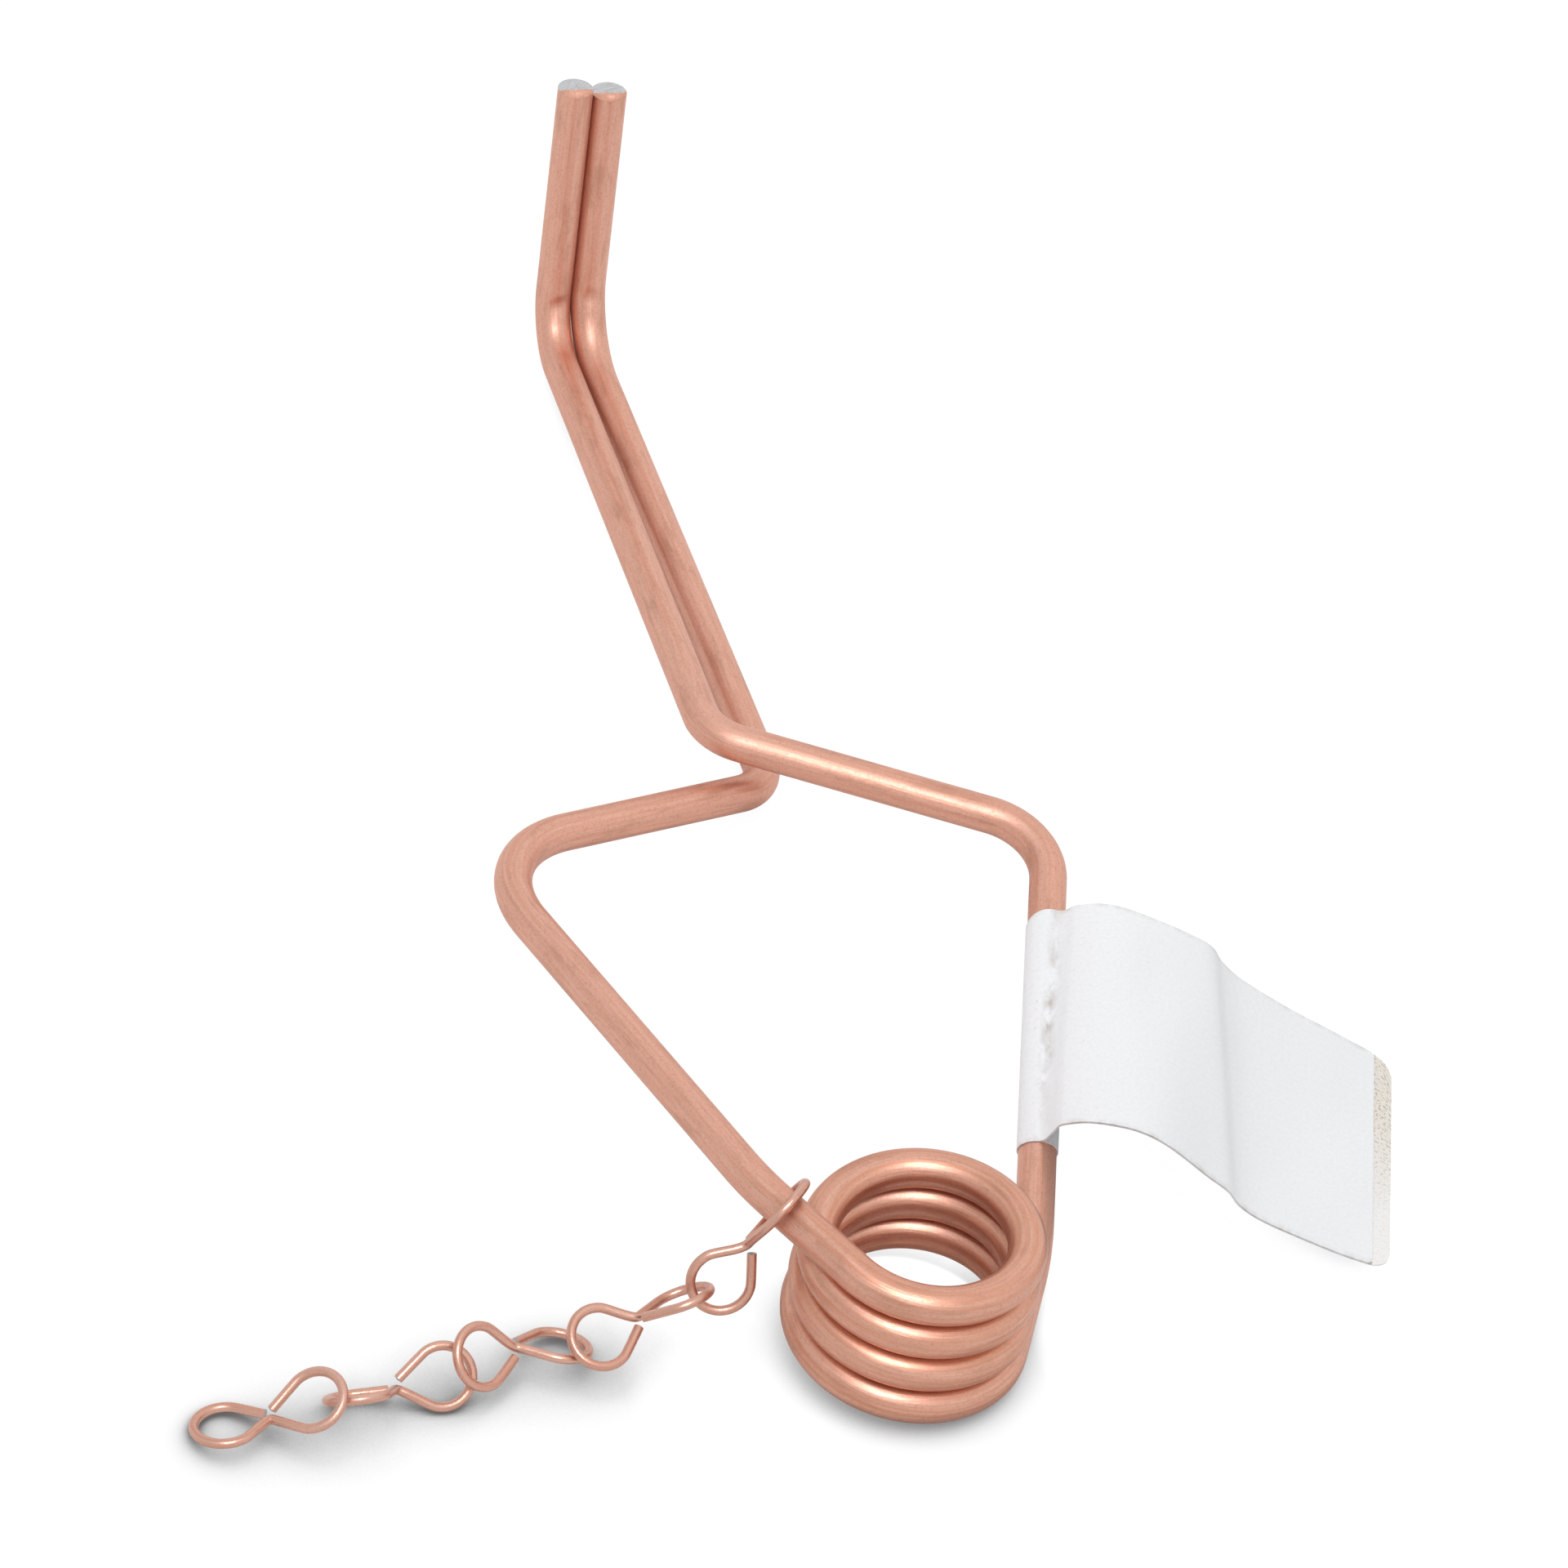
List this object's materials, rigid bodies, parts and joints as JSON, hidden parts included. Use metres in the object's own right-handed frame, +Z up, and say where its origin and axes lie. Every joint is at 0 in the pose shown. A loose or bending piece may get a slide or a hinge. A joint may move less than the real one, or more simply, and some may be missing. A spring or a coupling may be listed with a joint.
{
  "type": "vole trap",
  "caption": "Copper-plated wire vole trap: a coil spring with crossed arms ending in upturned jaws, a folded paper label on one arm and a short chain of wire links on the other",
  "frame": {"origin": "the point on the floor under the middle of the object's box", "axes": "+Y runs from the coil to the jaws, +Z is up, and +X is to the right seen from the coil"},
  "size_m": [0.1386, 0.1758, 0.0372],
  "materials": {
    "plated_wire": "steel spring wire with a thin matte copper plating, drawn streaks along the wire",
    "chain_wire": "thin steel wire with a copper plating",
    "label_paper": "uncoated white paper, bare"
  },
  "bodies": {
    "trap": {"coil_spring": "plated_wire", "right_arm": "plated_wire", "paper_label": "label_paper"},
    "left_arm_body": {"left_arm": "plated_wire"},
    "link_1_body": {"chain_link_1": "chain_wire"},
    "link_2_body": {"chain_link_2": "chain_wire"},
    "link_3_body": {"chain_link_3": "chain_wire"},
    "link_4_body": {"chain_link_4": "chain_wire"},
    "link_5_body": {"chain_link_5": "chain_wire"}
  },
  "joints": [
    {"name": "left_arm_hinge", "type": "hinge", "parent": "trap", "child": "left_arm_body", "pos_m": [0.00646, -0.07401, 0.008], "axis": [-0.04, 0, -0.9992], "range_deg": [0, 15], "stiffness_Nm_per_rad": 11, "deforming": ["coil_spring"]},
    {"name": "link_1_swing", "type": "hinge", "parent": "left_arm_body", "child": "link_1_body", "pos_m": [-0.00754, -0.06861, 0.0154], "axis": [-0.4601, 0.8862, -0.055], "range_deg": [-20, 35]},
    {"name": "link_2_swing", "type": "hinge", "parent": "link_1_body", "child": "link_2_body", "pos_m": [-0.0151, -0.07291, 0.00536], "axis": [0.8266, -0.3868, -0.4088], "range_deg": [-35, 35]},
    {"name": "link_3_swing", "type": "hinge", "parent": "link_2_body", "child": "link_3_body", "pos_m": [-0.02918, -0.07685, 0.00439], "axis": [0.423, -0.8029, -0.42], "range_deg": [-35, 35]},
    {"name": "link_4_swing", "type": "hinge", "parent": "link_3_body", "child": "link_4_body", "pos_m": [-0.04163, -0.07787, 0.0049], "axis": [0.1719, -0.7396, -0.6507], "range_deg": [-35, 4]},
    {"name": "link_5_swing", "type": "hinge", "parent": "link_4_body", "child": "link_5_body", "pos_m": [-0.05501, -0.08056, 0.00344], "axis": [-0.3209, 0.6677, -0.6717], "range_deg": [-35, 20]}
  ]
}
